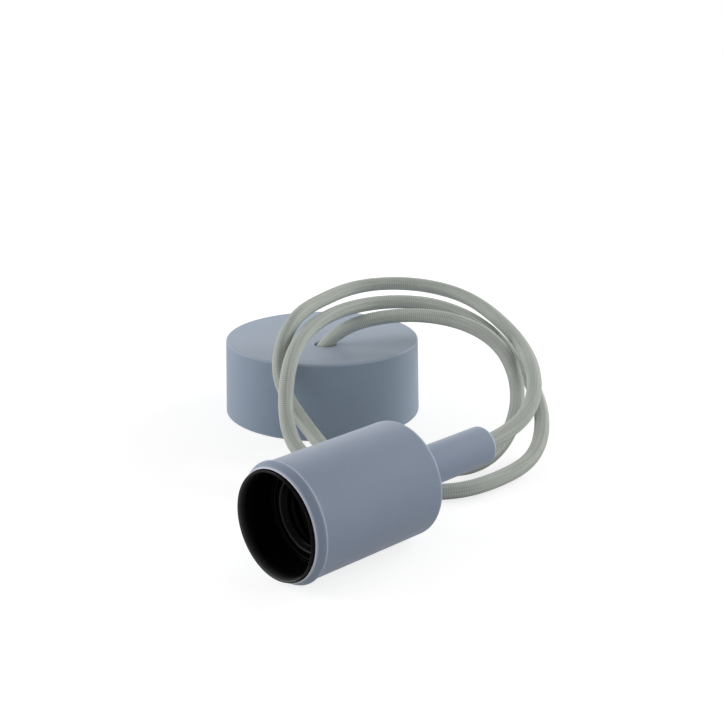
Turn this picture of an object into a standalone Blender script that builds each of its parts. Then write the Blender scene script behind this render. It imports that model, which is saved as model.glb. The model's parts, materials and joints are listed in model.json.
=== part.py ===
"""Pendant light: a round ceiling canopy, a textile cord and a screw lamp holder.

Units are metres, +Z is up. The canopy stands on its rim and its axis is the world Z axis.
The ceiling side of the canopy is the plane Z = 0, with the origin in its middle.
The holder lies on its side. Its axis is level, and its mouth faces -X.
"""

import math

import bmesh
import bpy
import numpy as np
from mathutils import Matrix
from mathutils import Vector

# Clearances and steps
GAP = 0.0003
MERGE_DISTANCE = 0.00001
BIG_TURN_STEPS = 64
TURN_STEPS = 48
SMALL_TURN_STEPS = 16
SHARP_ANGLE = math.radians(35.0)
BLOCK_EDGE = 0.0006
SCREW_WAIST = 0.8

# Cord, with the route of its middle line chosen by hand
CORD_RADIUS = 0.0035
CORD_BORE_RADIUS = CORD_RADIUS + 0.0005
CORD_POINTS = 76
CORD_ROUTE = [
    (-0.0115, -0.0025, 0.0120), (-0.0114, -0.0026, 0.0180), (-0.0098, -0.0047, 0.0280),
    (-0.0055, -0.0100, 0.0385), (0.0025, -0.0205, 0.0485), (0.0232, -0.0508, 0.0557),
    (0.0368, -0.0860, 0.0466), (0.0307, -0.1060, 0.0262), (0.0095, -0.1145, 0.0085),
    (-0.0207, -0.1151, 0.0055), (-0.0533, -0.1036, 0.0133), (-0.0702, -0.0796, 0.0103),
    (-0.0704, -0.0575, 0.0172), (-0.0595, -0.0415, 0.0360), (-0.0385, -0.0270, 0.0500),
    (-0.0100, -0.0185, 0.0560), (0.0200, -0.0200, 0.0570), (0.0435, -0.0370, 0.0550),
    (0.0535, -0.0630, 0.0470), (0.0490, -0.0905, 0.0350), (0.0389, -0.1135, 0.0203),
    (0.0167, -0.1290, 0.0074), (-0.0120, -0.1330, 0.0042), (-0.0410, -0.1260, 0.0039),
    (-0.0560, -0.1015, 0.0040), (-0.0546, -0.0723, 0.0045), (-0.0499, -0.0450, 0.0134),
    (-0.0505, -0.0260, 0.0355), (-0.0332, -0.0155, 0.0558), (-0.0055, -0.0065, 0.0606),
    (0.0240, -0.0030, 0.0620), (0.0495, -0.0170, 0.0615), (0.0615, -0.0430, 0.0575),
    (0.0560, -0.0715, 0.0517), (0.0429, -0.0980, 0.0459), (0.0250, -0.1200, 0.0375),
    (0.0040, -0.1312, 0.0284), (-0.0250, -0.1335, 0.0240), (-0.0450, -0.1335, 0.0240),
    (-0.0675, -0.1335, 0.0240),
]

# Canopy cover
CANOPY_TOP_RADIUS = 0.0500
CANOPY_RIM_RADIUS = 0.0510
CANOPY_HEIGHT = 0.0389
CANOPY_DISH = 0.0010
CANOPY_DISH_RINGS = 4
CANOPY_WALL = 0.0025
CANOPY_TOP_THICKNESS = 0.0020
CANOPY_EDGE_ROUND = 0.0012
CANOPY_RIM_CHAMFER = 0.0004
CORD_HOLE_CENTRE = (-0.0061, -0.0092)
CORD_HOLE_RADIUS = 0.0058

# Ceiling plate, a pressed disc with a turned-up rim
PLATE_THICKNESS = 0.0015
PLATE_RIM_HEIGHT = 0.0060
PLATE_RIM_WALL = 0.0012
PLATE_RIM_GAP = 0.0005
PLATE_SLOT_LENGTH = 0.0120
PLATE_SLOT_WIDTH = 0.0045
PLATE_SLOT_OFFSET = 0.0330
PLATE_CABLE_HOLE = (0.0330, -0.0130)
PLATE_CABLE_HOLE_RADIUS = 0.0065

# Strain relief post on the ceiling plate
POST_HALF_LENGTH = 0.0080
POST_HALF_WIDTH = 0.0070
POST_TOP = 0.0170
POST_WINDOW_HALF_WIDTH = 0.0045
POST_WINDOW_TOP = 0.0110
POST_SCREW_HEIGHT = 0.0142
POST_SCREW_HEAD = (0.0024, 0.0016)

# Terminal block on the ceiling plate
BLOCK_CENTRE = (0.0140, 0.0060)
BLOCK_LENGTH = 0.0180
BLOCK_WIDTH = 0.0200
BLOCK_HEIGHT = 0.0120
CHANNEL_OFFSET = 0.0050
CHANNEL_RADIUS = 0.0027
CHANNEL_HEIGHT = 0.0050
TERMINAL_RADIUS = 0.0023
TERMINAL_BORE_RADIUS = 0.0015
TERMINAL_LENGTH = 0.0150
TERMINAL_SCREW_OFFSET = 0.0045
TERMINAL_SCREW_RADIUS = 0.0014
TERMINAL_SCREW_SHANK = 0.0012
TERMINAL_SCREW_HEAD = 0.0022
BLOCK_SCREW_HEAD = (0.0027, 0.0015)
WIRE_RADIUS = 0.0011
WIRE_OFFSET = 0.0016

# Lamp holder, with heights along its axis measured from the mouth of the sleeve
HOLDER_MOUTH = (-0.1426, -0.1335, 0.0240)
SLEEVE_MOUTH_RADIUS = 0.0218
SLEEVE_RIDGE_RADIUS = 0.0240
SLEEVE_RIDGE_HEIGHT = 0.0039
SLEEVE_STEP_HEIGHT = 0.0004
SLEEVE_STEP_RISE = 0.0002
SLEEVE_STEP_RUN = 0.0012
SLEEVE_FRONT_RADIUS = 0.0233
SLEEVE_BACK_RADIUS = 0.02385
SLEEVE_BACK_HEIGHT = 0.06535
SLEEVE_BACK_ROUND = 0.0025
SLEEVE_BORE_RADIUS = 0.02165
SLEEVE_BORE_DEPTH = 0.06335
NECK_RADIUS = 0.00847
NECK_FILLET = 0.0040
NECK_HEIGHT = 0.1153
NECK_END_ROUND = 0.0013
NECK_BORE_RADIUS = 0.0064
NECK_BORE_DEPTH = 0.0960

SHELL_RADIUS = 0.02135
SHELL_BORE_RADIUS = 0.01965
SHELL_LIP = 0.0013
SHELL_SHOULDER_RADIUS = 0.0180
SHELL_SHOULDER_FRONT = 0.0142
SHELL_SHOULDER_BACK = 0.0360
SHELL_HEIGHT = 0.0480

INSERT_RADIUS = 0.0177
INSERT_WAIST_RADIUS = 0.0156
INSERT_CHAMFER_RADIUS = 0.0153
INSERT_THROAT_RADIUS = 0.0136
INSERT_BORE_RADIUS = 0.0134
INSERT_FRONT = 0.0143
INSERT_EDGE = 0.0004
INSERT_FLANGE_THICKNESS = 0.0032
INSERT_BACK = 0.0383

CARRIER_THICKNESS = 0.0050
CONTACT_HALF_FOOT = 0.0030
CONTACT_TIP = (0.0010, -0.0025)
CONTACT_OFFSET = 0.0080
CONTACT_THICKNESS = 0.0006
CONTACT_WIDTH = 0.0070
CONTACT_RISE = 0.0045
SIDE_CONTACT_OFFSET = 0.0119
SIDE_CONTACT_WIDTH = 0.0055
SIDE_CONTACT_RISE = 0.0080
RIVET_RADIUS = 0.0010
RIVET_HEAD_RADIUS = 0.0019
RIVET_HEAD_HEIGHT = 0.0008
RIVET_GRIP = 0.0025
CLAMP_SIZE = 0.0070
CLAMP_HEIGHT = 0.0080
CLAMP_SCREW_DEPTH = 0.0017
CLAMP_SCREW_RADIUS = 0.0012
CLAMP_SCREW_HEAD = (0.0019, 0.0012)
CLAMP_SCREW_TIP = 0.0013

CAP_SKIRT_RADIUS = 0.01935
CAP_BORE_RADIUS = 0.0178
CAP_SKIRT_FRONT = 0.0439
CAP_BODY_FRONT = 0.0483
CAP_FLOOR = 0.0604
CAP_BACK = 0.0629
BOSS_RADIUS = 0.0061
BOSS_HEIGHT = 0.0920
BOSS_SCREW_HEIGHT = 0.0830
BOSS_SCREW_SHANK = 0.0008
BOSS_SCREW_HEAD = 0.0014

# Colours are linear red, green and blue
SILICONE_COLOUR = (0.285, 0.325, 0.385)
TEXTILE_COLOUR = (0.300, 0.320, 0.290)
BLACK_COLOUR = (0.006, 0.006, 0.006)
WHITE_COLOUR = (0.750, 0.740, 0.700)
STEEL_COLOUR = (0.560, 0.570, 0.580)
BRASS_COLOUR = (0.700, 0.500, 0.220)
BROWN_COLOUR = (0.110, 0.040, 0.018)
BLUE_COLOUR = (0.020, 0.110, 0.420)

PART_COLLECTION = "pendant_light"
CUTTER_COLLECTION = "cutters"


def clear_scene():
    """Remove every object, so that the model starts from nothing."""
    for thing in list(bpy.data.objects):
        bpy.data.objects.remove(thing, do_unlink=True)


def make_collection(name):
    """Add one collection to the scene."""
    collection = bpy.data.collections.new(name)
    bpy.context.scene.collection.children.link(collection)
    return collection


def make_material(name, colour, roughness, metallic):
    """Plain Principled material of one piece."""
    look = bpy.data.materials.new(name)
    look.use_nodes = True
    shader = look.node_tree.nodes["Principled BSDF"]
    shader.inputs["Base Color"].default_value = (*colour, 1.0)
    shader.inputs["Roughness"].default_value = roughness
    shader.inputs["Metallic"].default_value = metallic
    look.diffuse_color = (*colour, 1.0)
    return look


def silicone(name):
    """Matt blue-grey silicone rubber."""
    return make_material(name, SILICONE_COLOUR, 0.75, 0.0)


def black_plastic(name):
    """Glossy black heat-proof plastic."""
    return make_material(name, BLACK_COLOUR, 0.30, 0.0)


def white_plastic(name):
    """Plain white nylon."""
    return make_material(name, WHITE_COLOUR, 0.50, 0.0)


def steel(name):
    """Zinc-plated steel."""
    return make_material(name, STEEL_COLOUR, 0.35, 1.0)


def brass(name):
    """Bare brass."""
    return make_material(name, BRASS_COLOUR, 0.30, 1.0)


def insulation(name, colour):
    """Coloured wire insulation."""
    return make_material(name, colour, 0.45, 0.0)


def add_part(name, data, look, parent=None):
    """Put a mesh or a curve into the part collection under one name."""
    part = bpy.data.objects.new(name, data)
    data.materials.append(look)
    bpy.data.collections[PART_COLLECTION].objects.link(part)
    part.parent = parent
    return part


def add_cutter(name, data, parent=None):
    """Put a cutting shape into the cutter collection, drawn as wire."""
    cutter = bpy.data.objects.new(name, data)
    bpy.data.collections[CUTTER_COLLECTION].objects.link(cutter)
    cutter.parent = parent
    cutter.hide_render = True
    cutter.display_type = "WIRE"
    return cutter


def cut(part, cutter):
    """Take one cutter away from a part."""
    boolean = part.modifiers.new(cutter.name, "BOOLEAN")
    boolean.operation = "DIFFERENCE"
    boolean.solver = "EXACT"
    boolean.object = cutter


def arc(centre, radius, first, last, steps):
    """Points on an arc, from one angle in degrees to the other, ends included."""
    angles = np.radians(np.linspace(first, last, steps + 1))
    across = centre[0] + radius * np.cos(angles)
    along = centre[1] + radius * np.sin(angles)
    return list(zip(across.tolist(), along.tolist()))


def turn(part, steps):
    """Turn a half profile about the local Z axis, and close the seam."""
    screw = part.modifiers.new("turn", "SCREW")
    screw.angle = math.tau
    screw.steps = steps
    screw.render_steps = steps
    screw.use_merge_vertices = True
    screw.merge_threshold = MERGE_DISTANCE


def turned(name, profile, look, parent=None, steps=TURN_STEPS):
    """Solid of revolution from (radius, height) points, outer side first and downwards.

    A profile that starts and ends on the axis is a full solid, and any other one is a ring.
    """
    count = len(profile)
    edges = [(index, index + 1) for index in range(count - 1)]
    if profile[0][0] > 0.0:
        edges.append((count - 1, 0))
    mesh = bpy.data.meshes.new(name)
    mesh.from_pydata([(radius, 0.0, height) for radius, height in profile], edges, [])
    part = add_part(name, mesh, look, parent)
    turn(part, steps)
    return part


def box_mesh(name, low, high):
    """Box between two corners."""
    low = Vector(low)
    high = Vector(high)
    place = Matrix.Translation((low + high) / 2.0) @ Matrix.Diagonal((*(high - low), 1.0))
    shape = bmesh.new()
    bmesh.ops.create_cube(shape, size=1.0, matrix=place)
    mesh = bpy.data.meshes.new(name)
    shape.to_mesh(mesh)
    shape.free()
    return mesh


def rod_mesh(name, start, end, radius, steps=SMALL_TURN_STEPS):
    """Round bar between two points."""
    start = Vector(start)
    end = Vector(end)
    along = end - start
    tilt = along.to_track_quat("Z", "Y").to_matrix().to_4x4()
    shape = bmesh.new()
    bmesh.ops.create_cone(
        shape, cap_ends=True, segments=steps, radius1=radius, radius2=radius,
        depth=along.length, matrix=Matrix.Translation((start + end) / 2.0) @ tilt,
    )
    mesh = bpy.data.meshes.new(name)
    shape.to_mesh(mesh)
    shape.free()
    return mesh


def drill(part, name, start, end, radius, steps=SMALL_TURN_STEPS):
    """Round hole from start to end."""
    cut(part, add_cutter(name, rod_mesh(name, start, end, radius, steps), part.parent))


def mill(part, name, low, high):
    """Square-cornered pocket between two corners."""
    cut(part, add_cutter(name, box_mesh(name, low, high), part.parent))


def soften(part, width):
    """Round the sharp edges of a part a little."""
    bevel = part.modifiers.new("edges", "BEVEL")
    bevel.width = width
    bevel.segments = 1
    bevel.limit_method = "ANGLE"


def fastener(name, tip, towards_head, shank, head, look, parent=None):
    """Round pin or screw with a flat head: shank and head are (radius, length) pairs."""
    shank_radius, shank_length = shank
    head_radius, head_height = head
    top = shank_length + head_height
    profile = [
        (0.0, top),
        (head_radius, top),
        (head_radius, shank_length),
        (shank_radius, shank_length),
        (shank_radius, 0.0),
        (0.0, 0.0),
    ]
    part = turned(name, profile, look, parent, SMALL_TURN_STEPS)
    part.location = tip
    part.rotation_mode = "QUATERNION"
    part.rotation_quaternion = Vector(towards_head).to_track_quat("Z", "Y")
    return part


def smooth_curve(route, count):
    """Evenly spaced points on the natural cubic curve through the points of a route.

    The first and the last step are halved, so that the ends leave straight.
    """
    knots = np.array(route)
    last = len(knots) - 1
    span = np.sqrt(np.linalg.norm(np.diff(knots, axis=0), axis=1))
    slope = np.diff(knots, axis=0) / span[:, None]
    system = np.eye(last + 1)
    wanted = np.zeros_like(knots)
    for index in range(1, last):
        system[index, index - 1] = span[index - 1]
        system[index, index] = 2.0 * (span[index - 1] + span[index])
        system[index, index + 1] = span[index]
        wanted[index] = 6.0 * (slope[index] - slope[index - 1])
    bend = np.linalg.solve(system, wanted)
    share = np.linspace(0.0, 1.0, 40)[:, None]
    pieces = []
    for index in range(last):
        near = (1.0 - share) * knots[index] + share * knots[index + 1]
        pull = ((1.0 - share) ** 3 - (1.0 - share)) * bend[index]
        pull = pull + (share ** 3 - share) * bend[index + 1]
        pieces.append(near + pull * span[index] ** 2 / 6.0)
    fine = np.concatenate(pieces)
    travelled = np.linalg.norm(np.diff(fine, axis=0), axis=1)
    distance = np.concatenate([[0.0], np.cumsum(travelled)])
    even = np.linspace(0.0, distance[-1], count)
    halves = [even[1] / 2.0, distance[-1] - even[1] / 2.0]
    stops = np.sort(np.concatenate([even, halves]))
    return np.stack([np.interp(stops, distance, fine[:, axis]) for axis in range(3)], axis=1)


def tube(name, points, radius, look, parent=None, sides=2):
    """Round cord or wire along a line of points, with closed ends."""
    curve = bpy.data.curves.new(name, "CURVE")
    curve.dimensions = "3D"
    curve.bevel_depth = radius
    curve.bevel_resolution = sides
    curve.use_fill_caps = True
    spline = curve.splines.new("POLY")
    spline.points.add(len(points) - 1)
    for control, place in zip(spline.points, points):
        control.co = (*place, 1.0)
    return add_part(name, curve, look, parent)


def canopy_outline():
    """Profile of the cover: a flat cup with a slightly sunken top and a soft edge."""
    flat_radius = CANOPY_TOP_RADIUS - CANOPY_EDGE_ROUND
    shares = np.linspace(0.0, 1.0, CANOPY_DISH_RINGS + 1)[:-1]
    sunken = CANOPY_HEIGHT - CANOPY_DISH
    top = [(flat_radius * share, sunken + CANOPY_DISH * share ** 2) for share in shares.tolist()]
    edge = arc((flat_radius, CANOPY_HEIGHT - CANOPY_EDGE_ROUND), CANOPY_EDGE_ROUND, 90.0, 0.0, 3)
    rim = [
        (CANOPY_RIM_RADIUS, CANOPY_RIM_CHAMFER),
        (CANOPY_RIM_RADIUS - CANOPY_RIM_CHAMFER, 0.0),
        (CANOPY_RIM_RADIUS - CANOPY_WALL, 0.0),
    ]
    ceiling = sunken - CANOPY_TOP_THICKNESS
    bore = CANOPY_TOP_RADIUS - CANOPY_WALL
    inside = [
        (bore, ceiling - CANOPY_EDGE_ROUND),
        (bore - CANOPY_EDGE_ROUND, ceiling),
        (0.0, ceiling),
    ]
    return top + edge + rim + inside


def make_canopy_cover():
    """Moulded silicone cup with one cord hole beside its middle."""
    cover = turned("canopy_cover", canopy_outline(), silicone("canopy silicone"),
                   steps=BIG_TURN_STEPS)
    x, y = CORD_HOLE_CENTRE
    drill(cover, "cord_hole", (x, y, CANOPY_HEIGHT / 2.0), (x, y, CANOPY_HEIGHT * 1.5),
          CORD_HOLE_RADIUS, TURN_STEPS)


def make_ceiling_plate():
    """Pressed steel disc that is screwed to the ceiling and holds the cover by its rim."""
    cover_bore = CANOPY_RIM_RADIUS - CANOPY_WALL
    rim_radius = cover_bore - PLATE_RIM_GAP
    rim_bore = rim_radius - PLATE_RIM_WALL
    profile = [
        (0.0, PLATE_THICKNESS),
        (rim_bore, PLATE_THICKNESS),
        (rim_bore, PLATE_RIM_HEIGHT),
        (rim_radius, PLATE_RIM_HEIGHT),
        (rim_radius, 0.0),
        (0.0, 0.0),
    ]
    plate = turned("ceiling_plate", profile, steel("plate steel"), steps=BIG_TURN_STEPS)
    low = -PLATE_THICKNESS
    high = PLATE_THICKNESS * 2.0
    for side in (-1.0, 1.0):
        middle = side * PLATE_SLOT_OFFSET
        mill(plate, "ceiling_slot", (-PLATE_SLOT_LENGTH / 2.0, middle - PLATE_SLOT_WIDTH / 2.0, low),
             (PLATE_SLOT_LENGTH / 2.0, middle + PLATE_SLOT_WIDTH / 2.0, high))
    x, y = PLATE_CABLE_HOLE
    drill(plate, "cable_hole", (x, y, low), (x, y, high), PLATE_CABLE_HOLE_RADIUS)
    x, y = BLOCK_CENTRE
    drill(plate, "block_screw_hole", (x, y, low), (x, y, high), TERMINAL_SCREW_RADIUS + GAP)


def make_ceiling_grip():
    """Plastic post that holds the start of the cord, with a window for the two wires."""
    x, y, _ = CORD_ROUTE[0]
    foot = PLATE_THICKNESS + GAP
    post = add_part(
        "ceiling_grip",
        box_mesh("ceiling_grip", (x - POST_HALF_LENGTH, y - POST_HALF_WIDTH, foot),
                 (x + POST_HALF_LENGTH, y + POST_HALF_WIDTH, POST_TOP)),
        white_plastic("grip plastic"),
    )
    soften(post, BLOCK_EDGE)
    drill(post, "post_bore", (x, y, POST_WINDOW_TOP - POST_TOP), (x, y, POST_TOP * 2.0),
          CORD_BORE_RADIUS, TURN_STEPS // 2)
    mill(post, "post_window",
         (x - POST_HALF_LENGTH * 2.0, y - POST_WINDOW_HALF_WIDTH, -foot),
         (x + POST_HALF_LENGTH * 2.0, y + POST_WINDOW_HALF_WIDTH, POST_WINDOW_TOP))
    shank_radius = TERMINAL_SCREW_RADIUS
    tip = y - CORD_RADIUS - GAP
    outside = y - POST_HALF_WIDTH - GAP
    drill(post, "post_screw_hole", (x, y, POST_SCREW_HEIGHT),
          (x, y - POST_HALF_WIDTH * 2.0, POST_SCREW_HEIGHT), shank_radius + GAP)
    fastener("ceiling_grip_screw", (x, tip, POST_SCREW_HEIGHT), (0.0, -1.0, 0.0),
             (shank_radius, tip - outside), POST_SCREW_HEAD, steel("grip screw steel"))


def make_terminal_block():
    """Plastic block with two brass tubes, a screw at each end of each and one that holds it."""
    x, y = BLOCK_CENTRE
    foot = PLATE_THICKNESS + GAP
    top = foot + BLOCK_HEIGHT
    half_length = BLOCK_LENGTH / 2.0
    axis_height = foot + CHANNEL_HEIGHT
    block = add_part(
        "terminal_block",
        box_mesh("terminal_block", (x - half_length, y - BLOCK_WIDTH / 2.0, foot),
                 (x + half_length, y + BLOCK_WIDTH / 2.0, top)),
        white_plastic("block plastic"),
    )
    soften(block, BLOCK_EDGE)
    well_foot = axis_height + TERMINAL_RADIUS + GAP
    screw_number = 0
    for number, side in enumerate((-1.0, 1.0), start=1):
        row = y + side * CHANNEL_OFFSET
        drill(block, "channel", (x - BLOCK_LENGTH, row, axis_height),
              (x + BLOCK_LENGTH, row, axis_height), CHANNEL_RADIUS)
        half_tube = TERMINAL_LENGTH / 2.0
        tube_profile = [
            (TERMINAL_RADIUS, half_tube),
            (TERMINAL_RADIUS, -half_tube),
            (TERMINAL_BORE_RADIUS, -half_tube),
            (TERMINAL_BORE_RADIUS, half_tube),
        ]
        terminal = turned(f"terminal_{number}", tube_profile, brass(f"terminal brass {number}"),
                          steps=SMALL_TURN_STEPS)
        terminal.location = (x, row, axis_height)
        terminal.rotation_euler = (0.0, math.pi / 2.0, 0.0)
        for end in (-1.0, 1.0):
            screw_number += 1
            place = x + end * TERMINAL_SCREW_OFFSET
            drill(block, "screw_well", (place, row, axis_height), (place, row, top * 2.0),
                  TERMINAL_SCREW_RADIUS + GAP)
            fastener(f"terminal_screw_{screw_number}", (place, row, well_foot), (0.0, 0.0, 1.0),
                     (TERMINAL_SCREW_RADIUS * SCREW_WAIST, TERMINAL_SCREW_SHANK),
                     (TERMINAL_SCREW_RADIUS, TERMINAL_SCREW_HEAD),
                     steel(f"terminal screw steel {screw_number}"))
    drill(block, "fixing_hole", (x, y, -foot), (x, y, top * 2.0), TERMINAL_SCREW_RADIUS + GAP)
    fastener("block_screw", (x, y, GAP), (0.0, 0.0, 1.0), (TERMINAL_SCREW_RADIUS, top),
             BLOCK_SCREW_HEAD, steel("block screw steel"))


def make_ceiling_wires():
    """Two insulated wires from the end of the cord to the terminal block."""
    x, y, end_height = CORD_ROUTE[0]
    block_x, block_y = BLOCK_CENTRE
    axis_height = PLATE_THICKNESS + GAP + CHANNEL_HEIGHT
    block_face = block_x - BLOCK_LENGTH / 2.0 - GAP
    colours = (("wire_brown_ceiling", BROWN_COLOUR, 1.0), ("wire_blue_ceiling", BLUE_COLOUR, -1.0))
    for name, colour, side in colours:
        offset = y + side * WIRE_OFFSET
        row = block_y + side * CHANNEL_OFFSET
        route = [
            (x, offset, end_height - GAP),
            (x + 0.0003, offset, end_height - 0.0030),
            (x + 0.0030, offset, axis_height + 0.0002),
            (x + 0.0085, offset * 0.7 + row * 0.1, axis_height - 0.0004),
            (block_face - 0.0035, offset * 0.25 + row * 0.75, axis_height),
            (block_face, row, axis_height),
        ]
        tube(name, smooth_curve(route, 12), WIRE_RADIUS, insulation(name + " plastic", colour))


def make_cord():
    """Textile cord, from the post in the canopy through its loops to the neck of the holder."""
    look = make_material("cord textile", TEXTILE_COLOUR, 0.90, 0.0)
    tube("cord", smooth_curve(CORD_ROUTE, CORD_POINTS), CORD_RADIUS, look, sides=3)


def make_holder_axis():
    """Empty at the mouth of the holder, whose local Z axis runs from the mouth to the neck."""
    axis = bpy.data.objects.new("holder_axis", None)
    bpy.data.collections[PART_COLLECTION].objects.link(axis)
    axis.location = HOLDER_MOUTH
    axis.rotation_euler = (0.0, math.pi / 2.0, 0.0)
    axis.empty_display_size = SLEEVE_RIDGE_RADIUS
    return axis


def make_sleeve(axis):
    """Silicone sleeve in one moulding: collar with a ridge, body, fillet and neck."""
    neck_corner = NECK_RADIUS - NECK_END_ROUND
    fillet_radius = NECK_RADIUS + NECK_FILLET
    back_corner = SLEEVE_BACK_RADIUS - SLEEVE_BACK_ROUND
    outside = [(CORD_BORE_RADIUS, NECK_HEIGHT)]
    outside += arc((neck_corner, NECK_HEIGHT - NECK_END_ROUND), NECK_END_ROUND, 90.0, 0.0, 3)
    outside += arc((fillet_radius, SLEEVE_BACK_HEIGHT + NECK_FILLET), NECK_FILLET, 180.0, 270.0, 4)
    outside += arc((back_corner, SLEEVE_BACK_HEIGHT - SLEEVE_BACK_ROUND), SLEEVE_BACK_ROUND,
                   90.0, 0.0, 4)
    collar = [
        (SLEEVE_FRONT_RADIUS, SLEEVE_RIDGE_HEIGHT + SLEEVE_STEP_RUN),
        (SLEEVE_FRONT_RADIUS + SLEEVE_STEP_RISE, SLEEVE_RIDGE_HEIGHT + SLEEVE_STEP_HEIGHT),
        (SLEEVE_RIDGE_RADIUS, SLEEVE_RIDGE_HEIGHT),
        (SLEEVE_MOUTH_RADIUS, 0.0),
        (SLEEVE_BORE_RADIUS, 0.0),
    ]
    inside = [
        (SLEEVE_BORE_RADIUS, SLEEVE_BORE_DEPTH),
        (NECK_BORE_RADIUS, SLEEVE_BORE_DEPTH),
        (NECK_BORE_RADIUS, NECK_BORE_DEPTH),
        (CORD_BORE_RADIUS, NECK_BORE_DEPTH + NECK_BORE_RADIUS - CORD_BORE_RADIUS),
    ]
    turned("holder_sleeve", outside + collar + inside, silicone("sleeve silicone"), axis,
           BIG_TURN_STEPS)


def make_shell(axis):
    """Black shell inside the sleeve, with a rounded lip that stands a little proud of it."""
    lip_round = (SHELL_RADIUS - SHELL_BORE_RADIUS) / 2.0
    lip_centre = (SHELL_RADIUS - lip_round, lip_round - SHELL_LIP)
    profile = [(SHELL_RADIUS, SHELL_HEIGHT)]
    profile += arc(lip_centre, lip_round, 0.0, -180.0, 6)
    profile += [
        (SHELL_BORE_RADIUS, SHELL_SHOULDER_FRONT),
        (SHELL_SHOULDER_RADIUS, SHELL_SHOULDER_FRONT),
        (SHELL_SHOULDER_RADIUS, SHELL_SHOULDER_BACK),
        (SHELL_BORE_RADIUS, SHELL_SHOULDER_BACK),
        (SHELL_BORE_RADIUS, SHELL_HEIGHT),
    ]
    turned("holder_shell", profile, black_plastic("shell plastic"), axis)


def make_thread_insert(axis):
    """Flanged tube that takes the bulb cap. Its bore stands for the screw thread."""
    flange_front = SHELL_SHOULDER_BACK + GAP
    front_back = INSERT_FRONT + INSERT_FLANGE_THICKNESS
    throat_depth = INSERT_CHAMFER_RADIUS - INSERT_THROAT_RADIUS
    profile = [
        (CAP_SKIRT_RADIUS, INSERT_BACK),
        (CAP_SKIRT_RADIUS, flange_front),
        (INSERT_WAIST_RADIUS, flange_front),
        (INSERT_WAIST_RADIUS, front_back),
        (INSERT_RADIUS, front_back),
        (INSERT_RADIUS, INSERT_FRONT + INSERT_EDGE),
        (INSERT_RADIUS - INSERT_EDGE, INSERT_FRONT),
        (INSERT_CHAMFER_RADIUS, INSERT_FRONT),
        (INSERT_THROAT_RADIUS, INSERT_FRONT + throat_depth),
        (INSERT_BORE_RADIUS, INSERT_FRONT + throat_depth * 1.3),
        (INSERT_BORE_RADIUS, INSERT_BACK),
    ]
    turned("thread_insert", profile, black_plastic("insert plastic"), axis)


def bent_strip(name, line, width, look, parent):
    """Flat strip bent along an open (x, height) line, with a thickness."""
    half = width / 2.0
    corners = [(x, side, height) for side in (-half, half) for x, height in line]
    count = len(line)
    faces = [(i, i + 1, count + i + 1, count + i) for i in range(count - 1)]
    mesh = bpy.data.meshes.new(name)
    mesh.from_pydata(corners, [], faces)
    strip = add_part(name, mesh, look, parent)
    solidify = strip.modifiers.new("thickness", "SOLIDIFY")
    solidify.thickness = CONTACT_THICKNESS
    solidify.offset = 0.0
    solidify.use_even_offset = True
    return strip


def make_contacts(axis):
    """Contact carrier disc with its two brass contacts, rivets, clamps and clamp screws."""
    front = INSERT_BACK + GAP
    back = front + CARRIER_THICKNESS
    profile = [(0.0, back), (CAP_SKIRT_RADIUS, back), (CAP_SKIRT_RADIUS, front), (0.0, front)]
    carrier = turned("contact_carrier", profile, black_plastic("carrier plastic"), axis)
    strip_middle = front - GAP - CONTACT_THICKNESS / 2.0
    strip_front = strip_middle - CONTACT_THICKNESS / 2.0
    centre_line = [
        (CONTACT_OFFSET + CONTACT_HALF_FOOT, strip_middle),
        (CONTACT_OFFSET - CONTACT_HALF_FOOT, strip_middle),
        (CONTACT_TIP[0], strip_middle - CONTACT_RISE),
        (CONTACT_TIP[1], strip_middle - CONTACT_RISE),
    ]
    centre = bent_strip("contact_centre", centre_line, CONTACT_WIDTH, brass("centre brass"), axis)
    side_line = [
        (-CONTACT_OFFSET + CONTACT_HALF_FOOT, strip_middle),
        (-SIDE_CONTACT_OFFSET, strip_middle),
        (-SIDE_CONTACT_OFFSET, strip_middle - SIDE_CONTACT_RISE),
    ]
    side = bent_strip("contact_side", side_line, SIDE_CONTACT_WIDTH, brass("side brass"), axis)
    clamp_front = back + GAP
    clamp_back = clamp_front + CLAMP_HEIGHT
    half = CLAMP_SIZE / 2.0
    rivet_foot = clamp_front + RIVET_GRIP
    rivet_head = strip_front - GAP
    screw_height = clamp_back - CLAMP_SCREW_DEPTH
    strips = {1.0: centre, -1.0: side}
    for number, direction in enumerate((1.0, -1.0), start=1):
        x = direction * CONTACT_OFFSET
        hole_start = (x, 0.0, rivet_head - RIVET_HEAD_HEIGHT)
        hole_end = (x, 0.0, rivet_foot + GAP)
        clamp = add_part(
            f"wire_clamp_{number}",
            box_mesh(f"wire_clamp_{number}", (x - half, -half, clamp_front), (x + half, half, clamp_back)),
            brass(f"clamp brass {number}"),
            axis,
        )
        for pierced in (strips[direction], carrier, clamp):
            drill(pierced, "rivet_hole", hole_start, hole_end, RIVET_RADIUS + GAP)
        fastener(f"contact_rivet_{number}", (x, 0.0, rivet_foot), (0.0, 0.0, -1.0),
                 (RIVET_RADIUS, rivet_foot - rivet_head), (RIVET_HEAD_RADIUS, RIVET_HEAD_HEIGHT),
                 brass(f"rivet brass {number}"), axis)
        outer = direction * (CONTACT_OFFSET + half)
        drill(clamp, "clamp_screw_hole", (x + direction * (CLAMP_SCREW_TIP - GAP), 0.0, screw_height),
              (outer * 1.5, 0.0, screw_height), CLAMP_SCREW_RADIUS + GAP)
        tip = (x + direction * CLAMP_SCREW_TIP, 0.0, screw_height)
        shank_length = half - CLAMP_SCREW_TIP + GAP
        fastener(f"clamp_screw_{number}", tip, (direction, 0.0, 0.0),
                 (CLAMP_SCREW_RADIUS, shank_length), CLAMP_SCREW_HEAD,
                 steel(f"clamp screw steel {number}"), axis)


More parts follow.
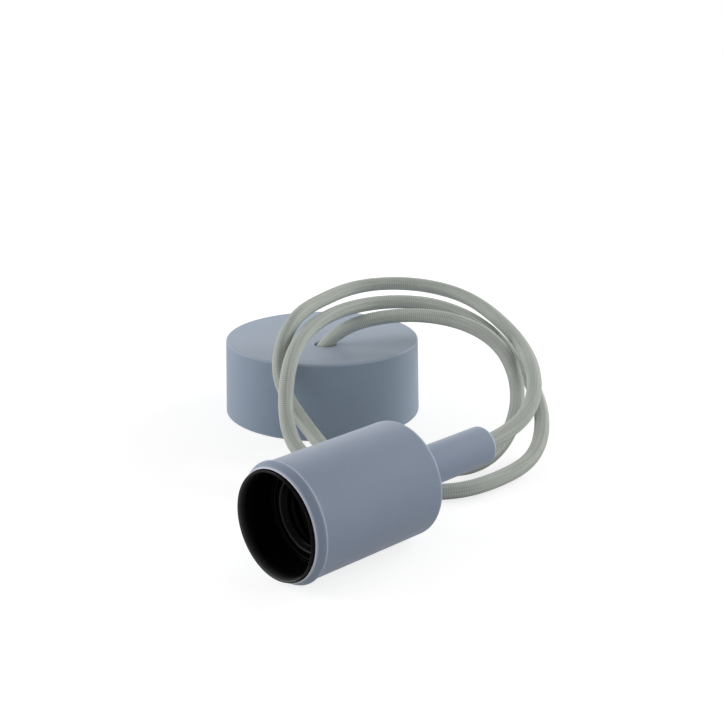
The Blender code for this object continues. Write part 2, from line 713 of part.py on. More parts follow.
def make_cap(axis):
    """Black cap that closes the shell, with the long boss that carries the cord."""
    corner = SHELL_RADIUS - SLEEVE_BACK_ROUND
    profile = [(CORD_BORE_RADIUS, BOSS_HEIGHT), (BOSS_RADIUS, BOSS_HEIGHT), (BOSS_RADIUS, CAP_BACK)]
    profile += arc((corner, CAP_BACK - SLEEVE_BACK_ROUND), SLEEVE_BACK_ROUND, 90.0, 0.0, 4)
    profile += [
        (SHELL_RADIUS, CAP_BODY_FRONT),
        (CAP_SKIRT_RADIUS, CAP_BODY_FRONT),
        (CAP_SKIRT_RADIUS, CAP_SKIRT_FRONT),
        (CAP_BORE_RADIUS, CAP_SKIRT_FRONT),
        (CAP_BORE_RADIUS, CAP_FLOOR),
        (CORD_BORE_RADIUS, CAP_FLOOR),
    ]
    cap = turned("holder_cap", profile, black_plastic("cap plastic"), axis)
    drill(cap, "boss_screw_hole", (0.0, 0.0, BOSS_SCREW_HEIGHT),
          (BOSS_RADIUS * 2.0, 0.0, BOSS_SCREW_HEIGHT), CLAMP_SCREW_RADIUS + GAP)
    fastener("holder_grip_screw", (CORD_RADIUS + GAP, 0.0, BOSS_SCREW_HEIGHT), (1.0, 0.0, 0.0),
             (CLAMP_SCREW_RADIUS * SCREW_WAIST, BOSS_SCREW_SHANK),
             (CLAMP_SCREW_RADIUS, BOSS_SCREW_HEAD),
             white_plastic("boss screw plastic"), axis)


def make_holder_wires(axis):
    """Two insulated wires from the end of the cord to the clamps of the contact carrier."""
    cord_end = CORD_ROUTE[-1][0] - HOLDER_MOUTH[0]
    clamp_back = INSERT_BACK + GAP + CARRIER_THICKNESS + GAP + CLAMP_HEIGHT
    colours = (("wire_brown_holder", BROWN_COLOUR, 1.0), ("wire_blue_holder", BLUE_COLOUR, -1.0))
    for name, colour, side in colours:
        route = [
            (0.0, side * WIRE_OFFSET, cord_end - GAP),
            (0.0, side * WIRE_OFFSET, cord_end - 0.0060),
            (side * 0.0003, side * WIRE_OFFSET, CAP_FLOOR + 0.0010),
            (side * 0.0035, side * WIRE_OFFSET * 0.6, CAP_FLOOR - 0.0030),
            (side * 0.0074, side * WIRE_OFFSET * 0.1, clamp_back + 0.0025),
            (side * CONTACT_OFFSET, 0.0, clamp_back + GAP),
        ]
        tube(name, smooth_curve(route, 14), WIRE_RADIUS, insulation(name + " plastic", colour), axis)


def settle_modifiers():
    """Turn each part's modifiers into its mesh, and shade round faces smooth."""
    bpy.context.view_layer.update()
    scene_state = bpy.context.evaluated_depsgraph_get()
    parts = [part for part in bpy.data.collections[PART_COLLECTION].objects if part.type == "MESH"]
    meshes = [bpy.data.meshes.new_from_object(part.evaluated_get(scene_state)) for part in parts]
    for part, mesh in zip(parts, meshes):
        part.modifiers.clear()
        part.data = mesh
        mesh.shade_smooth()
        mesh.set_sharp_from_angle(angle=SHARP_ANGLE)


def main():
    """Build the whole pendant light."""
    clear_scene()
    make_collection(PART_COLLECTION)
    make_collection(CUTTER_COLLECTION)
    make_canopy_cover()
    make_ceiling_plate()
    make_ceiling_grip()
    make_terminal_block()
    make_ceiling_wires()
    make_cord()
    axis = make_holder_axis()
    make_sleeve(axis)
    make_shell(axis)
    make_thread_insert(axis)
    make_contacts(axis)
    make_cap(axis)
    make_holder_wires(axis)
    settle_modifiers()


main()
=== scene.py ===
# %% [markdown]
# Dressing a pendant light.
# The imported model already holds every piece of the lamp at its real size: the canopy, the
# cord, the holder and what is inside them. This lesson keeps that frame as it is and gives
# it the surfaces that a close look would show. The visible pieces are computed again as fine
# meshes, and each finish is a small network of nodes.

# %% Load the frame
import json
import math

import bpy
import numpy as np
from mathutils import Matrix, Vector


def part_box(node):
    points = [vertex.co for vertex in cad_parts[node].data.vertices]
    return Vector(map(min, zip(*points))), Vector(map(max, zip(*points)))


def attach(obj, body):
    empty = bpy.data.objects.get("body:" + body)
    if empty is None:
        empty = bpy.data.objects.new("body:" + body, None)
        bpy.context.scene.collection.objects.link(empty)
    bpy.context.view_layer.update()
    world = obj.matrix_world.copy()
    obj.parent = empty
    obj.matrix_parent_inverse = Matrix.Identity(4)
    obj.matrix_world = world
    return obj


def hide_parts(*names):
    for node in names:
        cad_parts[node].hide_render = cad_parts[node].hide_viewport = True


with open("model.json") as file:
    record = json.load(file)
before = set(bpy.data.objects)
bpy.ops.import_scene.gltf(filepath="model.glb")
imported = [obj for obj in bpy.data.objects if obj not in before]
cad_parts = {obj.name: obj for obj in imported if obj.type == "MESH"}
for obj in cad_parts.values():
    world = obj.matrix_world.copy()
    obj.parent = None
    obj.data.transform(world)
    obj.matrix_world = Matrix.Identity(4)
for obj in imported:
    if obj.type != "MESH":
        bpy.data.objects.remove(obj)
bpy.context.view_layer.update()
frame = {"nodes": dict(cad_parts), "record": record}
nodes = frame["nodes"]
MM = 0.001
print("pieces in the frame:", len(nodes))

# %% [markdown]
# The camera.
# The photograph was taken from a little above the lamp, with a lens that is long enough to
# keep the canopy's ellipse calm. A camera can be aimed by eye or solved from the outlines of
# the round parts. Here it was solved, and its place, pitch and heading are written as plain
# numbers, so that they can be read and changed.

# %% Camera at the photograph's angle
CAMERA_PLACE = (-0.38435, -0.43131, 0.20897)
CAMERA_PITCH_DOWN = 17.70
CAMERA_HEADING = -43.77
CAMERA_LENS = 57.18

bpy.context.scene.view_settings.view_transform = "Standard"
camera_data = bpy.data.cameras.new("photo_camera")
camera_data.lens = CAMERA_LENS
camera_data.sensor_width = 36.0
camera_data.clip_start = 0.01
camera = bpy.data.objects.new("photo_camera", camera_data)
bpy.context.scene.collection.objects.link(camera)
camera.location = CAMERA_PLACE
camera.rotation_euler = (math.radians(90.0 - CAMERA_PITCH_DOWN), 0.0, math.radians(CAMERA_HEADING))
bpy.context.scene.camera = camera
print("camera height above the floor, mm:", round(CAMERA_PLACE[2] / MM))

# %% [markdown]
# The route of the cord.
# A lighting cord is springy and of a fixed length, so its loops are round and never kink. Its
# middle line could be a Bezier curve edited by hand, or a chain of arcs. A natural cubic curve
# through a short list of points is used here, because it bends as a springy rod does. The
# points are the same as in the solid model, in metres.

# %% Middle line of the cord
CORD_ROUTE = np.array([
    (-0.0115, -0.0025, 0.0120), (-0.0114, -0.0026, 0.0180), (-0.0098, -0.0047, 0.0280),
    (-0.0055, -0.0100, 0.0385), (0.0025, -0.0205, 0.0485), (0.0232, -0.0508, 0.0557),
    (0.0368, -0.0860, 0.0466), (0.0307, -0.1060, 0.0262), (0.0095, -0.1145, 0.0085),
    (-0.0207, -0.1151, 0.0055), (-0.0533, -0.1036, 0.0133), (-0.0702, -0.0796, 0.0103),
    (-0.0704, -0.0575, 0.0172), (-0.0595, -0.0415, 0.0360), (-0.0385, -0.0270, 0.0500),
    (-0.0100, -0.0185, 0.0560), (0.0200, -0.0200, 0.0570), (0.0435, -0.0370, 0.0550),
    (0.0535, -0.0630, 0.0470), (0.0490, -0.0905, 0.0350), (0.0389, -0.1135, 0.0203),
    (0.0167, -0.1290, 0.0074), (-0.0120, -0.1330, 0.0042), (-0.0410, -0.1260, 0.0039),
    (-0.0560, -0.1015, 0.0040), (-0.0546, -0.0723, 0.0045), (-0.0499, -0.0450, 0.0134),
    (-0.0505, -0.0260, 0.0355), (-0.0332, -0.0155, 0.0558), (-0.0055, -0.0065, 0.0606),
    (0.0240, -0.0030, 0.0620), (0.0495, -0.0170, 0.0615), (0.0615, -0.0430, 0.0575),
    (0.0560, -0.0715, 0.0517), (0.0429, -0.0980, 0.0459), (0.0250, -0.1200, 0.0375),
    (0.0040, -0.1312, 0.0284), (-0.0250, -0.1335, 0.0240), (-0.0450, -0.1335, 0.0240),
    (-0.0675, -0.1335, 0.0240),
])
CORD_RADIUS = 3.5 * MM
RIB_PITCH = 1.05 * MM
RINGS_PER_RIB = 4
CORD_RING_STEP = RIB_PITCH / RINGS_PER_RIB


def length_along(points):
    """Distance travelled at each point of a line: the running sum of its steps."""
    steps = np.linalg.norm(np.diff(points, axis=0), axis=1)
    return np.concatenate([[0.0], np.cumsum(steps)])


def even_points(points, step):
    """Points at even distances on a line of points."""
    distance = length_along(points)
    count = int(round(distance[-1] / step)) + 1
    stops = np.linspace(0.0, distance[-1], count)
    return np.stack([np.interp(stops, distance, points[:, axis]) for axis in range(3)], axis=1)


def springy_line(knots, step):
    """Natural cubic curve through knots, sampled evenly.

    The parameter grows with the square root of each chord. One linear system gives the second
    derivative at every knot, with none at both ends. Between two knots the curve is the chord
    plus two cubic terms, one for each knot's second derivative.
    """
    span = np.sqrt(np.linalg.norm(np.diff(knots, axis=0), axis=1))
    slope = np.diff(knots, axis=0) / span[:, None]
    inner = np.arange(1, len(knots) - 1)
    system = np.eye(len(knots))
    system[inner, inner - 1] = span[:-1]
    system[inner, inner] = 2.0 * (span[:-1] + span[1:])
    system[inner, inner + 1] = span[1:]
    wanted = np.zeros_like(knots)
    wanted[inner] = 6.0 * np.diff(slope, axis=0)
    bend = np.linalg.solve(system, wanted)
    share = np.linspace(0.0, 1.0, 60)[None, :, None]
    near = (1.0 - share) * knots[:-1, None] + share * knots[1:, None]
    pull = ((1.0 - share) ** 3 - (1.0 - share)) * bend[:-1, None]
    pull = pull + (share ** 3 - share) * bend[1:, None]
    fine = (near + pull * span[:, None, None] ** 2 / 6.0).reshape(-1, 3)
    return even_points(fine, step)


cord_line = springy_line(CORD_ROUTE, CORD_RING_STEP)

# %% [markdown]
# From a grid of points to a mesh.
# Every new piece here is a grid: one direction runs along a profile or a path, the other runs
# round it. The faces are the same for all of them, so one function makes the mesh. It measures
# the enclosed volume from the faces, and turns the faces round where the volume is negative,
# which leaves every surface pointing outwards.

# %% Grid to mesh
def grid_faces(rows, columns, closed_rows):
    """Four-cornered faces of a grid that closes round its columns, and maybe over its rows."""
    row, column = np.meshgrid(
        np.arange(rows if closed_rows else rows - 1), np.arange(columns), indexing="ij"
    )
    next_row = (row + 1) % rows
    next_column = (column + 1) % columns
    corners = [row * columns + column, row * columns + next_column,
               next_row * columns + next_column, next_row * columns + column]
    return np.stack(corners, axis=-1).reshape(-1, 4)


def enclosed_volume(points, faces):
    """Signed volume: the sum over triangles of a corner dotted with the other two crossed."""
    a = points[faces[:, 0]]
    b = points[faces[:, 1]]
    c = points[faces[:, 2]]
    d = points[faces[:, 3]]
    return float((a * (np.cross(b, c) + np.cross(c, d))).sum() / 6.0)


def add_surface_map(mesh, faces, caps, columns, turn, distance):
    """UV map with the share of a turn and the distance along, for each corner of a face.

    The last column meets the first, so on a face that crosses this seam the corners of the
    first column get one whole turn more.
    """
    around = turn[faces % columns]
    crosses = around.max(axis=1) - around.min(axis=1) > 0.5
    around = around + (crosses[:, None] & (around < 0.5))
    around = np.concatenate([around.ravel()] + [turn[cap % columns] for cap in caps])
    corners = np.concatenate([faces.ravel()] + caps)
    values = np.stack([around, distance[corners // columns]], axis=1)
    layer = mesh.uv_layers.new(name="surface")
    layer.data.foreach_set("uv", values.astype(np.float32).ravel())


def make_piece(name, grid, closed_rows, surface_map=None, painted_light=None):
    """Mesh piece from a grid of points, smooth, closed and pointing outwards.

    surface_map holds (turn share, distance) for each grid point and becomes the UV map.
    The last argument holds a number from 0 to 1 for each row and becomes a point attribute of the
    same name, which the finishes use to paint highlights and reflections.
    """
    rows, columns = grid.shape[:2]
    points = grid.reshape(-1, 3)
    faces = grid_faces(rows, columns, closed_rows)
    volume = enclosed_volume(points, faces)
    if volume < 0.0:
        faces = faces[:, ::-1]
    caps = []
    if not closed_rows:
        first_cap = np.arange(columns)
        last_cap = first_cap + (rows - 1) * columns
        caps = [first_cap, last_cap[::-1]] if volume < 0.0 else [first_cap[::-1], last_cap]
    mesh = bpy.data.meshes.new(name)
    mesh.from_pydata(points.tolist(), [], faces.tolist() + [cap.tolist() for cap in caps])
    if surface_map is not None:
        add_surface_map(mesh, faces, caps, columns, *surface_map)
    # The attribute marks the rows where highlights and reflections are painted.
    if painted_light is not None:
        painted_light_layer = mesh.attributes.new("painted_light", "FLOAT", "POINT")
        painted_light_layer.data.foreach_set("value", np.repeat(painted_light, columns).astype(np.float32))
    mesh.shade_smooth()
    piece = bpy.data.objects.new(name, mesh)
    bpy.context.scene.collection.objects.link(piece)
    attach(piece, "root")
    print(name, "faces:", len(faces) + len(caps), "volume, cm3:", round(abs(volume) * 1e6, 2))
    return piece


# %% [markdown]
# The cord's surface.
# A textile cord is a braided sleeve over two insulated wires that are twisted together. Its
# yarns make fine ribs across the cord, and the ribs run in zigzags from one lengthwise column
# to the next. The wires under the sleeve show as a faint slow swell. A tube needs a frame that
# follows the line without spinning. It can be carried from ring to ring, or any steady frame
# can be corrected by its own unwanted spin, which is a running sum of small angles. The second
# way needs no loop.

# %% Cord mesh
BRAID_COLUMNS = 24
ZIGZAG = 1.0 / RINGS_PER_RIB
RIB_HEIGHT = 0.040 * MM
CORE_SWELL = 0.035 * MM
CORE_LAY = 52.0 * MM
HAND_WAVE = 0.025 * MM
ROUNDED_END = 2.0 * MM
END_ROUNDING = 0.35


def unspun_frame(line):
    """Tangents, and two cross directions that don't spin about them.

    The first cross direction is the tangent crossed with a fixed direction. The spin between
    two rings is the angle between it and its neighbour moved onto the same plane, and the
    running sum of that angle is turned back.
    """
    tangent = np.gradient(line, axis=0)
    tangent /= np.linalg.norm(tangent, axis=1)[:, None]
    side = np.cross(tangent, np.array([0.31, 0.47, -0.83]))
    side /= np.linalg.norm(side, axis=1)[:, None]
    up = np.cross(tangent, side)
    moved = side[:-1] - (side[:-1] * tangent[1:]).sum(axis=1)[:, None] * tangent[1:]
    spin = np.arctan2((moved * up[1:]).sum(axis=1), (moved * side[1:]).sum(axis=1))
    turn = np.concatenate([[0.0], np.cumsum(spin)])[:, None]
    cosine, sine = np.cos(turn), np.sin(turn)
    return tangent, cosine * side + sine * up, cosine * up - sine * side


def cord_surface(line, radius, columns):
    """Tube round a line, one side for each column of the braid.

    The radius is the cord's, plus small waves. The rib is a cosine of the distance over the
    rib pitch, and every second column is a quarter of a rib ahead. The swell is a cosine that
    goes twice round in a turn and winds slowly along the cord. Three slow sines add a little
    wander. The last rings at both ends shrink to round them.
    """
    distance = length_along(line)[:, None]
    column = np.arange(columns)[None, :]
    angle = math.tau * column / columns
    rib = -RIB_HEIGHT * np.cos(math.tau * (distance / RIB_PITCH + ZIGZAG * (column % 2)))
    swell = rib + CORE_SWELL * np.cos(2.0 * (angle - math.tau * distance / (2.0 * CORE_LAY)))
    wander = np.sin(distance / (9.7 * MM)) + np.sin(distance / (23.3 * MM) + 1.0)
    wander = HAND_WAVE * (wander + np.sin(distance / (4.1 * MM) + 2.0 * angle)) / 2.0
    from_end = np.minimum(distance, distance[-1] - distance) / ROUNDED_END
    rounding = 1.0 - END_ROUNDING * np.clip(1.0 - from_end, 0.0, 1.0) ** 2
    reach = (radius + swell + wander) * rounding
    _, side, up = unspun_frame(line)
    across = np.cos(angle)[..., None] * side[:, None] + np.sin(angle)[..., None] * up[:, None]
    return line[:, None] + reach[..., None] * across


cord = make_piece(
    "textile_cord", cord_surface(cord_line, CORD_RADIUS, BRAID_COLUMNS), False,
    surface_map=(np.arange(BRAID_COLUMNS) / BRAID_COLUMNS, length_along(cord_line)),
)
CORD_HOLE = np.array([-6.1, -9.2]) * MM
canopy_low, canopy_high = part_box("canopy_cover")
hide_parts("cord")

# %% [markdown]
# Profiles with rounded corners.
# A turned or moulded part is told by its section: straight stretches between corners, and each
# corner with a radius of its own. Bevel could round the corners afterwards. It is easier here
# to write the section as corners with their radii and compute the arcs, because the arcs then
# stay true circles at any fineness. Points crowd towards the corners, so that smooth shading
# keeps the flats flat.

# %% Rounded sections
ARC_STEPS = 7
SIDE_STEPS = 6


def rounded_section(corners, step):
    """Closed section from (radius, height, rounding) corners.

    At each corner the arc touches both sides. Its points are the two touching radii blended
    by the sines of the shares of the angle between them. Straight stretches get points spaced
    by a cosine, closer together near the corners.
    """
    spots = np.array(corners, float)
    here = spots[:, :2]
    before = np.roll(here, 1, axis=0) - here
    after = np.roll(here, -1, axis=0) - here
    before /= np.linalg.norm(before, axis=1)[:, None]
    after /= np.linalg.norm(after, axis=1)[:, None]
    half = np.arccos(np.clip((before * after).sum(axis=1), -1.0, 1.0)) / 2.0
    run = spots[:, 2] / np.tan(half)
    starts = here + before * run[:, None]
    ends = here + after * run[:, None]
    middle = before + after
    middle /= np.linalg.norm(middle, axis=1)[:, None]
    centres = here + middle * (spots[:, 2] / np.sin(half))[:, None]
    sweep = math.pi - 2.0 * half
    share = np.linspace(0.0, 1.0, ARC_STEPS + 1)
    pieces = []
    for index in range(len(spots)):
        if spots[index, 2] > 0.0:
            centre, turn = centres[index], sweep[index]
            first = np.sin((1.0 - share) * turn)[:, None] * (starts[index] - centre)
            last = np.sin(share * turn)[:, None] * (ends[index] - centre)
            pieces.append(centre + (first + last) / math.sin(turn))
        else:
            pieces.append(here[index][None])
        target = starts[(index + 1) % len(spots)]
        count = max(SIDE_STEPS, int(np.linalg.norm(target - ends[index]) / step))
        blend = (1.0 - np.cos(np.linspace(0.0, math.pi, count + 1)[1:-1])) / 2.0
        pieces.append(ends[index] + blend[:, None] * (target - ends[index]))
    return np.concatenate(pieces)


def closeness(section, spots, reach):
    """1 at the given spots of a section, falling to 0 over the reach like a bell."""
    gap = np.linalg.norm(section[:, None] - np.array(spots)[None], axis=2).min(axis=1)
    return np.exp(-(gap / reach) ** 2)


# %% [markdown]
# The canopy cover.
# It is one silicone moulding, a cup whose top is slightly sunken, with the cord hole beside the
# middle. A Boolean could cut the hole, but it leaves long thin faces that catch the light. The
# grid is bent instead: its rings start as the circle of the hole and drift to the middle of
# the cup as they grow, so that every ring is a clean circle.

# %% Canopy mesh
CANOPY_STEPS = 224
CANOPY_TOP_RADIUS = 50.0 * MM
CANOPY_WALL = 2.5 * MM
CANOPY_TOP_THICKNESS = 2.0 * MM
CANOPY_DISH = 1.0 * MM
CANOPY_BEND = 1.2 * MM
CORD_HOLE_RADIUS = 5.8 * MM
HOLE_DRIFT_END = 45.0 * MM
canopy_rim_radius = (canopy_high.x - canopy_low.x) / 2.0
canopy_height = canopy_high.z


def canopy_surface(section, steps):
    """Rings over a section whose first coordinate is the distance from the hole's wall.

    A smooth share grows from 0 at the hole to 1 near the side. Each ring's centre moves from
    the hole to the axis by that share, and its radius changes from the hole's radius plus the
    distance to the distance itself. The top is lowered by the dish depth times one minus the
    square of the radius over the flat radius. The lowering fades out on the lower half.
    """
    reach = section[:, 0][:, None]
    share = np.clip(reach / HOLE_DRIFT_END, 0.0, 1.0)
    share = share * share * (3.0 - 2.0 * share)
    radius = (1.0 - share) * (CORD_HOLE_RADIUS + reach) + share * reach
    angle = np.linspace(0.0, math.tau, steps, endpoint=False)[None, :]
    x = CORD_HOLE[0] * (1.0 - share) + radius * np.cos(angle)
    y = CORD_HOLE[1] * (1.0 - share) + radius * np.sin(angle)
    flat = CANOPY_TOP_RADIUS - CANOPY_BEND
    sunken = CANOPY_DISH * np.clip(1.0 - (x * x + y * y) / flat ** 2, 0.0, 1.0)
    upper = np.clip(section[:, 1][:, None] / canopy_height * 2.0 - 1.0, 0.0, 1.0) ** 0.25
    z = section[:, 1][:, None] - sunken * upper
    return np.stack([x, y, z + 0.0 * angle], axis=2)


canopy_ceiling = canopy_height - CANOPY_TOP_THICKNESS
canopy_section = rounded_section([
    (0.0, canopy_height, 0.5 * MM),
    (CANOPY_TOP_RADIUS, canopy_height, CANOPY_BEND),
    (canopy_rim_radius, 0.0, 0.35 * MM),
    (canopy_rim_radius - CANOPY_WALL, 0.0, 0.25 * MM),
    (CANOPY_TOP_RADIUS - CANOPY_WALL, canopy_ceiling, CANOPY_BEND),
    (0.0, canopy_ceiling, 0.5 * MM),
], 1.3 * MM)
# The top's outer edge, the hole's edge and the lower rim are marked for painted highlights.
canopy_highlights = closeness(canopy_section, [
    (CANOPY_TOP_RADIUS - 0.35 * MM, canopy_height - 0.35 * MM),
    (0.15 * MM, canopy_height - 0.15 * MM),
    (canopy_rim_radius, 0.0),
], 0.42 * MM)
canopy = make_piece("canopy_silicone", canopy_surface(canopy_section, CANOPY_STEPS), True,
                    painted_light=canopy_highlights)
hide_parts("canopy_cover")

# %% [markdown]
# Pieces turned about the holder's axis.
# The sleeve, the shell and the thread insert share one level axis. Each is a section carried
# round it. The screw thread is not a stack of rings: its groove climbs one pitch in each turn,
# so the radius of the bore depends on the height and on the angle together.

# %% Holder axis and turning
HOLDER_STEPS = 192
sleeve_low, sleeve_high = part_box("holder_sleeve")
holder_y = (sleeve_low.y + sleeve_high.y) / 2.0
holder_z = (sleeve_low.z + sleeve_high.z) / 2.0
mouth_x = sleeve_low.x
sleeve_length = sleeve_high.x - sleeve_low.x


def turn_about_holder(radius, height, steps):
    """Rings about the holder's axis: x is the mouth plus the height, y and z are the radius
    times the cosine and the sine of the angle. The radius may differ along each ring."""
    angle = np.linspace(0.0, math.tau, steps, endpoint=False)[None, :]
    reach = radius + 0.0 * angle
    x = mouth_x + height + 0.0 * angle
    y = holder_y + reach * np.cos(angle)
    z = holder_z + reach * np.sin(angle)
    return np.stack([x, y, z], axis=2)


def turned_piece(name, section, painted_light=None):
    """Piece whose section is carried round the holder's axis unchanged."""
    grid = turn_about_holder(section[:, 0][:, None], section[:, 1][:, None], HOLDER_STEPS)
    return make_piece(name, grid, True, painted_light=painted_light)


print("holder axis height, mm:", round(holder_z / MM, 2), "length:", round(sleeve_length / MM, 1))

# %% [markdown]
# The sleeve.
# One soft moulding covers the holder: a collar with a crisp ridge at the mouth, a body that
# widens a little towards the back, a rounded shoulder, and a neck that grips the cord. Silicone
# shows its edges as thin pale lines where their rounding catches the light, so the edges are
# also marked, and the finish paints them pale as painted highlights.

# %% Sleeve mesh
RIDGE_RADIUS = (sleeve_high.y - sleeve_low.y) / 2.0
RIDGE_HEIGHT = 3.9 * MM
BODY_FRONT_RADIUS = 23.3 * MM
BODY_BACK_RADIUS = 23.85 * MM
BODY_BACK = 65.35 * MM
MOUTH_RADIUS = 21.8 * MM
SLEEVE_BORE = 21.65 * MM
NECK_RADIUS = 8.47 * MM
NECK_BORE = 3.95 * MM
SLEEVE_WALL = 2.0 * MM
CABLE_ROOM_RADIUS = 6.4 * MM
CABLE_ROOM_END = 96.0 * MM
NECK_GRIP_START = 98.4 * MM
sleeve_section = rounded_section([
    (NECK_BORE, sleeve_length, 0.30 * MM),
    (NECK_RADIUS, sleeve_length, 1.3 * MM),
    (NECK_RADIUS, BODY_BACK, 4.0 * MM),
    (BODY_BACK_RADIUS, BODY_BACK, 2.5 * MM),
    (BODY_FRONT_RADIUS, RIDGE_HEIGHT + 1.1 * MM, 0.6 * MM),
    (BODY_FRONT_RADIUS + 0.15 * MM, RIDGE_HEIGHT + 0.25 * MM, 0.12 * MM),
    (RIDGE_RADIUS, RIDGE_HEIGHT, 0.10 * MM),
    (MOUTH_RADIUS + 0.1 * MM, 0.0, 0.15 * MM),
    (SLEEVE_BORE, 0.0, 0.06 * MM),
    (SLEEVE_BORE, BODY_BACK - SLEEVE_WALL, 0.5 * MM),
    (CABLE_ROOM_RADIUS, BODY_BACK - SLEEVE_WALL, 0.5 * MM),
    (CABLE_ROOM_RADIUS, CABLE_ROOM_END, 0.5 * MM),
    (NECK_BORE, NECK_GRIP_START, 0.5 * MM),
], 1.2 * MM)
# Ridge, shoulder, mouth and neck edges, marked for painted highlights.
ridge_line = closeness(sleeve_section, [(RIDGE_RADIUS, RIDGE_HEIGHT)], 0.30 * MM)
shoulder_line = closeness(sleeve_section, [
    (BODY_BACK_RADIUS - 0.7 * MM, BODY_BACK - 0.7 * MM),
], 0.30 * MM)
mouth_line = closeness(sleeve_section, [(MOUTH_RADIUS + 0.1 * MM, 0.1 * MM)], 0.45 * MM)
neck_line = closeness(sleeve_section, [
    (NECK_RADIUS - 0.4 * MM, sleeve_length - 0.4 * MM),
], 0.85 * MM)
sleeve_highlights = np.maximum.reduce([
    0.8 * ridge_line, 0.4 * shoulder_line, mouth_line, 0.7 * neck_line,
])
sleeve = turned_piece("sleeve_silicone", sleeve_section, sleeve_highlights)
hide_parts("holder_sleeve")

# %% [markdown]
# The black shell and the thread insert.
# Inside the sleeve sits the working part of the holder, moulded in a hard glossy black
# plastic. Its thin lip stands just proud of the sleeve, and its mouth opens a little like a
# bell. The inner side of the lip shows grey where it reflects the bright surroundings, so that
# side is marked and the finish paints a grey reflection on it. Further in, a ring carries the
# screw thread for the bulb. The thread of this size climbs 3.6 mm a turn and has a round
# groove, so a cosine gives its section well.

# %% Shell and insert meshes
shell_low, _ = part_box("holder_shell")
insert_low, insert_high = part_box("thread_insert")
lip = shell_low.x - mouth_x
insert_front = insert_low.x - mouth_x
insert_back = insert_high.x - mouth_x
SHELL_RADIUS = 21.35 * MM
SHELL_BORE = 19.65 * MM
MOUTH_FLARE = 1.2 * MM
FLARE_DEPTH = 4.5 * MM
SHELL_END = 48.0 * MM
STEP_RADIUS = 18.0 * MM
STEP_START = 14.2 * MM
STEP_END = 36.0 * MM
flare_top = SHELL_BORE + MOUTH_FLARE
shell_section = rounded_section([
    (SHELL_RADIUS, SHELL_END, 0.2 * MM),
    (SHELL_RADIUS, lip, 0.24 * MM),
    (flare_top, lip, 0.22 * MM),
    (SHELL_BORE, lip + FLARE_DEPTH, 3.0 * MM),
    (SHELL_BORE, STEP_START, 0.25 * MM),
    (STEP_RADIUS, STEP_START, 0.25 * MM),
    (STEP_RADIUS, STEP_END, 0.2 * MM),
    (SHELL_BORE, STEP_END, 0.2 * MM),
    (SHELL_BORE, SHELL_END, 0.2 * MM),
], 1.2 * MM)
# The inner side of the lip and the wall behind it are marked for a painted grey reflection, and
# the step for a faint painted highlight.
lip_reflection = closeness(shell_section, [(flare_top, lip + 0.2 * MM)], 0.8 * MM)
wall_reflection = 0.4 * closeness(shell_section, [(flare_top, lip + 0.6 * MM)], 1.6 * MM)
inner_side = np.clip((flare_top + 0.12 * MM - shell_section[:, 0]) / (0.1 * MM), 0.0, 1.0)
step_line = 0.13 * closeness(shell_section, [(STEP_RADIUS, STEP_START)], 0.3 * MM)
shell_painted_light = np.maximum(np.maximum(lip_reflection, wall_reflection) * inner_side, step_line)
shell = turned_piece("shell_black", shell_section, shell_painted_light)
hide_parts("holder_shell")

THREAD_PITCH = 3.629 * MM
THREAD_DEPTH = 1.1 * MM
THREAD_ROOT = 13.4 * MM
THREAD_LEAD_IN = 1.6 * MM
INSERT_RADIUS = 17.7 * MM
FLANGE_RADIUS = 19.35 * MM
FLANGE_START = 36.3 * MM
TUBE_RADIUS = 15.6 * MM
COLLAR_END = 17.5 * MM
THREAD_MOUTH = 15.3 * MM
MOUTH_SLOPE = 1.9 * MM
insert_section = rounded_section([
    (FLANGE_RADIUS, insert_back, 0.2 * MM),
    (FLANGE_RADIUS, FLANGE_START, 0.2 * MM),
    (TUBE_RADIUS, FLANGE_START, 0.2 * MM),
    (TUBE_RADIUS, COLLAR_END, 0.2 * MM),
    (INSERT_RADIUS, COLLAR_END, 0.2 * MM),
    (INSERT_RADIUS, insert_front, 0.35 * MM),
    (THREAD_MOUTH, insert_front, 0.18 * MM),
    (THREAD_ROOT, insert_front + MOUTH_SLOPE, 0.3 * MM),
    (THREAD_ROOT, insert_back, 0.2 * MM),
], 0.24 * MM)


def threaded_radius(section, steps):
    """Radius of each ring point. In the bore it is the root radius less the thread's depth
    times a raised cosine of height over pitch less the share of a turn, faded in at the ends."""
    radius = section[:, 0][:, None]
    height = section[:, 1][:, None]
    turn = np.arange(steps)[None, :] / steps
    wave = (0.5 - 0.5 * np.cos(math.tau * (height / THREAD_PITCH - turn))) ** 0.8
    start = np.clip((height - insert_front - 1.5 * MM) / THREAD_LEAD_IN, 0.0, 1.0)
    stop = np.clip((insert_back - 0.3 * MM - height) / THREAD_LEAD_IN, 0.0, 1.0)
    in_bore = radius < THREAD_ROOT + 0.25 * MM
    return radius - THREAD_DEPTH * wave * start * stop * in_bore


insert_grid = turn_about_holder(threaded_radius(insert_section, HOLDER_STEPS),
                                insert_section[:, 1][:, None], HOLDER_STEPS)
# The edge of the thread's mouth is marked for a painted highlight.
insert_highlight = closeness(insert_section, [
    (THREAD_MOUTH - 0.1 * MM, insert_front + 0.1 * MM),
], 0.3 * MM)
insert = make_piece("insert_black", insert_grid, True, painted_light=0.55 * insert_highlight)
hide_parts("thread_insert")

# %% [markdown]
# Building blocks for the finishes.
# A finish is a chain of nodes. A few helpers keep the chains short: they make a Math node and
# return its output, stretch or limit a value, and make a node group with named sockets. A
# group is built once and placed in each material with its own values, as a decorator mixes
# one filler for many jobs.

